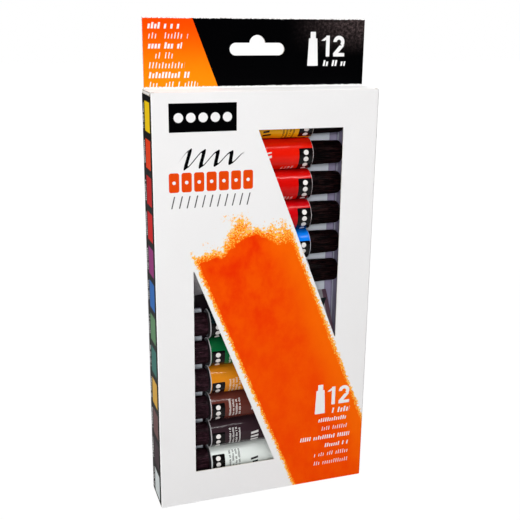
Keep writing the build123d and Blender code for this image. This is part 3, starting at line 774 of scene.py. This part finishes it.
def modelTube():
    # from the shoulder back to the folded end, then the shoulder, the neck and its mouth
    t = tube
    piece = addRing("tubeMaster", 48, t["radius"], t["body"])
    for step in range(t["roundSteps"]):
        grow(-t["round"] / t["roundSteps"])
    high, wide = t["radius"], t["radius"]
    for step in range(1, t["taperSteps"] + 1):
        share = step / t["taperSteps"]
        flat = share ** 2 * (1.732 - 0.732 * share ** 2)  # the girth stays about the same
        newHigh = t["radius"] * (1 - flat) + t["flatHalf"] * flat
        newWide = t["radius"] * (1 + (math.pi / 2 - 1) * flat)
        grow(-t["taper"] / t["taperSteps"], newWide / wide, newHigh / high)
        high, wide = newHigh, newWide
    for along, half in foldRings:
        grow(-along, 1.0, half / high)
        high = half
    bpy.ops.mesh.edge_face_add()
    pick(lambda place: place.x > t["body"] - 0.01)
    grow(t["bead"])
    grow(t["bead"], t["beadShare"], t["beadShare"])
    shrink = t["shoulderRadius"] / (t["radius"] * t["beadShare"])
    grow(t["shoulder"] - 2 * t["bead"], shrink, shrink)
    shrink = t["neckRadius"] / t["shoulderRadius"]
    grow(0.0, shrink, shrink)
    grow(t["neckLength"])
    grow(0.0, t["mouthShare"], t["mouthShare"])
    grow(-t["neckLength"])
    bpy.ops.mesh.edge_face_add()
    closeShell()
    tilt = -math.radians(t["tilt"])
    bpy.ops.transform.rotate(value=tilt, orient_axis="X", center_override=(0, 0, 0))
    bpy.ops.object.transform_apply(location=True, rotation=True, scale=True)
    return piece


cap = {
    "radius": 6.1, "endRadius": 5.8, "length": 17.0, "rounding": 2.3, "flutes": 36, "fluteDepth": 0.22,
    "band": 1.2, "bore": 3.68, "boreDepth": 7.75, "rim": 0.15, "roundSteps": 5,
    "fluteLead": 0.25, "dimple": 0.25, "dimpleShare": 0.8, "dimpleDraft": 0.94,
}


def modelCap():
    # from its rim: a plain band, flutes pushed in, and a rounded closed end
    c = cap
    rimRadius = c["radius"] - c["rim"]
    piece = addRing("capMaster", c["flutes"] * 4, rimRadius, 0.0)
    grow(c["rim"], c["radius"] / rimRadius, c["radius"] / rimRadius)
    grow(c["band"] - c["rim"])
    grow(c["fluteLead"])
    valley = 1 - c["fluteDepth"] / c["radius"]
    tooth = 2 * math.pi / c["flutes"]
    start = c["band"] + c["fluteLead"]

    def inValley(place):
        turn = (math.atan2(place.z, place.y) + 2 * math.pi) / tooth + 0.125
        return place.x > start - 0.01 and turn % 1 > 0.5

    pick(inValley)
    bpy.ops.transform.resize(value=(1, valley, valley), center_override=(0, 0, 0))
    pick(lambda place: place.x > start - 0.01)
    shrink = c["endRadius"] / c["radius"]
    grow(c["length"] - c["rounding"] - start, shrink, shrink)
    radius = c["endRadius"]
    quarter = math.pi / 2 / c["roundSteps"]
    for step in range(1, c["roundSteps"] + 1):
        before, after = quarter * (step - 1), quarter * step
        newRadius = c["endRadius"] - c["rounding"] * (1 - math.cos(after))
        along = c["rounding"] * (math.sin(after) - math.sin(before))
        grow(along, newRadius / radius, newRadius / radius)
        radius = newRadius
    # a shallow dimple in the closed end, then the bore from the rim
    grow(0.0, c["dimpleShare"], c["dimpleShare"])
    grow(-c["dimple"], c["dimpleDraft"], c["dimpleDraft"])
    bpy.ops.mesh.edge_face_add()
    pick(lambda place: place.x < 0.01)
    grow(0.0, c["bore"] / rimRadius, c["bore"] / rimRadius)
    grow(c["boreDepth"])
    bpy.ops.mesh.edge_face_add()
    closeShell()
    return piece


def endOf(node, turned):
    # where a tube or cap starts: its end away from the cap's closed end, on the tube's axis
    low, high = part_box(node)
    return Vector(((high if turned else low)[0], (low[1] + high[1]) / 2, (low[2] + high[2]) / 2))


def copyInto(master, name, start, turned):
    # a copy of a tube or cap in its row, with its place in its own mesh
    deselect()
    master.select_set(True)
    bpy.context.view_layer.objects.active = master
    bpy.ops.object.duplicate()
    piece = bpy.context.object
    piece.name = name
    piece.location = start
    piece.rotation_euler = (0, 0, math.pi if turned else 0)
    bpy.ops.object.transform_apply(location=True, rotation=True, scale=True)
    return piece


def dentTube(piece):
    # shallow hand dents, mostly inwards, different in each row
    dents = bpy.data.textures.new(piece.name + "_dents", "CLOUDS")
    dents.noise_scale = tube["dentSize"] * mm
    dents.noise_depth = 1
    bpy.ops.object.modifier_add(type="SUBSURF")
    smooth = piece.modifiers[-1]
    smooth.levels = smooth.render_levels = 1
    bpy.ops.object.modifier_apply(modifier=smooth.name)
    bpy.ops.object.modifier_add(type="DISPLACE")
    displace = piece.modifiers[-1]
    displace.texture = dents
    displace.texture_coords = "GLOBAL"
    displace.strength = tube["dent"] * mm
    displace.mid_level = 0.6
    bpy.ops.object.modifier_apply(modifier=displace.name)
    bpy.ops.object.shade_smooth_by_angle(angle=math.radians(35))


def tubePlace(tree, start, turned):
    # the tube's own place in mm: x from its folded end, y towards the back, z up
    spot = addNode(tree, "TexCoord", {}).outputs["Object"]
    side = -1.0 if turned else 1.0
    x, y, z = start / mm
    inputs = {
        "Vector": spot, "Scale": (1000.0 * side, 1000.0, 1000.0), "Location": (-side * x, -y, -z),
    }
    return addNode(tree, "Mapping", inputs).outputs[0]


def tubePrint(tree, x, around, row, body, letters):
    # a black label with white dots, and columns of small marks
    p = labelLook
    end = tube["body"] - (0.0 if row < rowsPerGroup else 0.3)
    start = tube["body"] - p["long"]
    centre = ((start + end) / 2, p["tall"] / 2)
    label = bar(tree, join(tree, x, around), centre, (end - start, p["tall"]), corner=0.6)
    shown = blendInk(tree, label, body, p["black"])
    first = p["tall"] / 2 - p["dotPitch"] * (p["dots"] - 1) / 2
    _, near = repeat(tree, around, first, p["dotPitch"], p["dots"])
    size = p["dotSize"]
    middle = tube["body"] - p["dotMiddle"]
    dot = bar(tree, join(tree, x, near), (middle, 0.0), (size, size), corner=size / 2)
    shown = blendInk(tree, dot, shown, p["white"])
    first = tube["body"] - p["firstColumn"]
    column, beside = repeat(tree, x, first, p["columnPitch"], p["columns"])
    seed = calc(tree, "ADD", column, 221.0 + 10 * row)
    local = join(tree, around, beside)
    start = (p["columnStart"], -p["columnTall"] / 2)
    small = marks(tree, local, start, p["columnLong"], p["columnTall"], seed, 0.85)
    start = (1.0, tube["body"] - p["signFoot"])
    sign = marks(tree, join(tree, around, x), start, p["signLong"], p["signTall"], row + 241.0, 0.8)
    return blendInk(tree, calc(tree, "MAXIMUM", small, sign), shown, letters)


def enamelMaterial(name, row, start, body, letters):
    def look(tree):
        m = metalLook
        place = tubePlace(tree, start, row >= rowsPerGroup)
        x, y, z = split(tree, place)
        turn = calc(tree, "ARCTAN2", z, calc(tree, "MULTIPLY", y, -1.0))
        up = calc(tree, "MULTIPLY", turn, tube["radius"])
        around = calc(tree, "SUBTRACT", labelLook["turns"][row], up)
        if row < rowsPerGroup:
            around = calc(tree, "SUBTRACT", labelLook["tall"], around)
        shown = tubePrint(tree, x, around, row, body, letters)
        torn = calc(tree, "MULTIPLY", noise(tree, place, 0.8, 3.0), 1.2)
        bareEnd = ease(tree, calc(tree, "ADD", x, torn), m["bareEnd"] + 0.8, m["bareEnd"] + 0.6)
        bareShoulder = ease(tree, x, tube["body"] - 0.02, tube["body"] + 0.04)
        wearAndSheen = noise(tree, place, 1.4, 4.0, 0.7)
        rubAndSheen = calc(tree, "MULTIPLY", ease(tree, wearAndSheen, 0.66, 0.7), ease(tree, x, 26.0, 10.0))
        bare = calc(tree, "MAXIMUM", calc(tree, "MAXIMUM", bareEnd, bareShoulder), rubAndSheen)
        streak = noise(tree, vectorCalc(tree, "MULTIPLY", place, (0.3, 1.0, 1.0)), 1.2, 3.0)
        metal = blendInk(tree, streak, m["dull"], m["bright"])
        # painted shade: the folded end darkens to mauve
        edge = calc(tree, "ADD", x, calc(tree, "MULTIPLY", torn, 0.4))
        folded = ease(tree, edge, m["folded"] + 0.5, m["folded"])
        metal = blendInk(tree, folded, metal, m["fold"])
        metal = blendInk(tree, bareShoulder, metal, m["shoulder"])
        # painted shade: the neck under the cap is darkened
        under = ease(tree, x, tube["body"] + 0.34, tube["body"] + 0.42)
        metal = blendInk(tree, under, metal, m["underCapShade"])
        shown = blendInk(tree, bare, shown, metal)
        rough = calc(tree, "ADD", 0.1, calc(tree, "MULTIPLY", noise(tree, place, 0.12, 3.0), 0.16))
        rough = calc(tree, "ADD", rough, calc(tree, "MULTIPLY", bare, 0.2))
        shine = calc(tree, "SUBTRACT", 0.45, calc(tree, "MULTIPLY", bareShoulder, 0.25))
        metallic = calc(tree, "MULTIPLY", bare, shine)
        height = noise(tree, place, 0.9, 2.0)
        return {"colour": shown, "rough": rough, "metal": metallic, "height": height}

    gloss = {"Coat_Weight": 0.12, "Coat_Roughness": 0.04, "Specular_IOR_Level": 0.24}
    return finish(name, look, depth=0.03, **gloss)


def capMaterial(name, dark, dustAndSheen):
    # black plastic with dust blotches and painted highlight streaks along its flutes
    def look(tree):
        spot = addNode(tree, "TexCoord", {}).outputs["Object"]
        place = vectorCalc(tree, "MULTIPLY", spot, (1000.0, 1000.0, 1000.0))
        dust = noise(tree, place, 0.5, 4.0, 0.7)
        streak = noise(tree, vectorCalc(tree, "MULTIPLY", place, (0.12, 1.0, 1.0)), 1.3, 3.0, 0.7)
        dust = calc(tree, "ADD", calc(tree, "MULTIPLY", dust, 0.4), calc(tree, "MULTIPLY", streak, 0.6))
        shown = blendInk(tree, ease(tree, dust, 0.46, 0.66), dark, dustAndSheen)
        rough = calc(tree, "ADD", 0.3, calc(tree, "MULTIPLY", dust, 0.25))
        return {"colour": shown, "rough": rough, "height": noise(tree, place, 3.0, 2.0)}

    return finish(name, look, depth=0.02, Specular_IOR_Level=0.1)


def paintMaterial(name, body):
    def look(tree):
        spot = addNode(tree, "TexCoord", {}).outputs["Object"]
        thick = noise(tree, spot, 300.0, 4.0, 0.6, 0.5)
        shown = blendInk(tree, calc(tree, "MULTIPLY", thick, 0.2), body, (0, 0, 0, 1))
        return {"colour": shown, "rough": 0.5, "height": thick}

    return finish(name, look, depth=0.1)


tubeMaster = modelTube()
capMaster = modelCap()
capLook = capMaterial("capPlastic", ink(2, 0, 1), ink(44, 24, 24))
# painted reflection: the lower caps get a lighter copy of the same black plastic
reflectionLitCapLook = capMaterial("capPlasticPaintedReflection", ink(26, 10, 16), ink(64, 38, 48))
for row, (colourName, body, letters) in enumerate(rows):
    turned = row >= rowsPerGroup
    capStart = endOf("cap_" + colourName, turned)
    tubeStart = Vector((endOf("tube_" + colourName, turned)[0], capStart[1], capStart[2]))
    piece = copyInto(tubeMaster, "painted_tube_" + colourName, tubeStart, turned)
    dentTube(piece)
    piece.data.materials.append(enamelMaterial("enamel_" + colourName, row, tubeStart, body, letters))
    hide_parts("tube_" + colourName)
    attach(piece, "carton")
    piece = copyInto(capMaster, "fluted_cap_" + colourName, capStart, turned)
    bpy.ops.object.shade_smooth_by_angle(angle=math.radians(28))
    piece.data.materials.append(reflectionLitCapLook if turned else capLook)
    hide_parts("cap_" + colourName)
    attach(piece, "cap_" + colourName)
    dress("paint_" + colourName, paintMaterial("paint_look_" + colourName, body))
for master in (tubeMaster, capMaster):
    bpy.data.objects.remove(master)
print("tubes and caps in place")

# the tray's pale plastic, a darker copy of it as painted shade on the walls, and near-black painted
# shade for the deep floor
trayLook = {
    "pale": ink(238, 245, 255), "wall": ink(172, 164, 194), "floor": ink(26, 18, 24), "rough": 0.32,
    "stepLow": 6.6, "stepTop": 7.6, "floorTop": 8.8, "floorRight": 41.0,
    "lowerPale": -44.4, "lowerTop": 110.0,
}


def trayMaterial():
    # thin formed plastic: pale on the steps, painted shade as a darker copy on the walls and near black
    # on the deep floor under the tubes
    def look(tree):
        p = trayLook
        spot, _ = flatPlace(tree, 0)
        across, depth, up = split(tree, spot)
        haze = noise(tree, spot, 0.12, 3.0)
        above = ease(tree, depth, p["stepLow"], p["stepLow"] + 0.3)
        below = ease(tree, depth, p["stepTop"] + 0.2, p["stepTop"])
        # painted shade: off the steps the plastic takes the darker wall colour
        shown = blendInk(tree, calc(tree, "MULTIPLY", above, below), p["wall"], p["pale"])
        # painted shade: the deep floor under the tubes turns near black
        deep = ease(tree, depth, p["floorTop"] - 0.4, p["floorTop"])
        low = calc(tree, "MULTIPLY", deep, ease(tree, across, p["floorRight"], p["floorRight"] - 4.0))
        shown = blendInk(tree, low, shown, p["floor"])
        # the deep floor at the lower left keeps the pale colour, without painted shade
        beside = ease(tree, across, p["lowerPale"] + 0.1, p["lowerPale"])
        beside = calc(tree, "MULTIPLY", beside, ease(tree, up, p["lowerTop"], p["lowerTop"] - 4.0))
        shown = blendInk(tree, calc(tree, "MULTIPLY", deep, beside), shown, p["pale"])
        # a random haze towards the same dark colour
        shown = blendInk(tree, calc(tree, "MULTIPLY", haze, 0.15), shown, p["floor"])
        rough = calc(tree, "ADD", p["rough"], calc(tree, "MULTIPLY", haze, 0.15))
        return {"colour": shown, "rough": rough, "height": noise(tree, spot, 0.25, 2.0)}

    return finish("trayPlastic", look, depth=0.15)


dress("tray", trayMaterial())
print("tray finished")
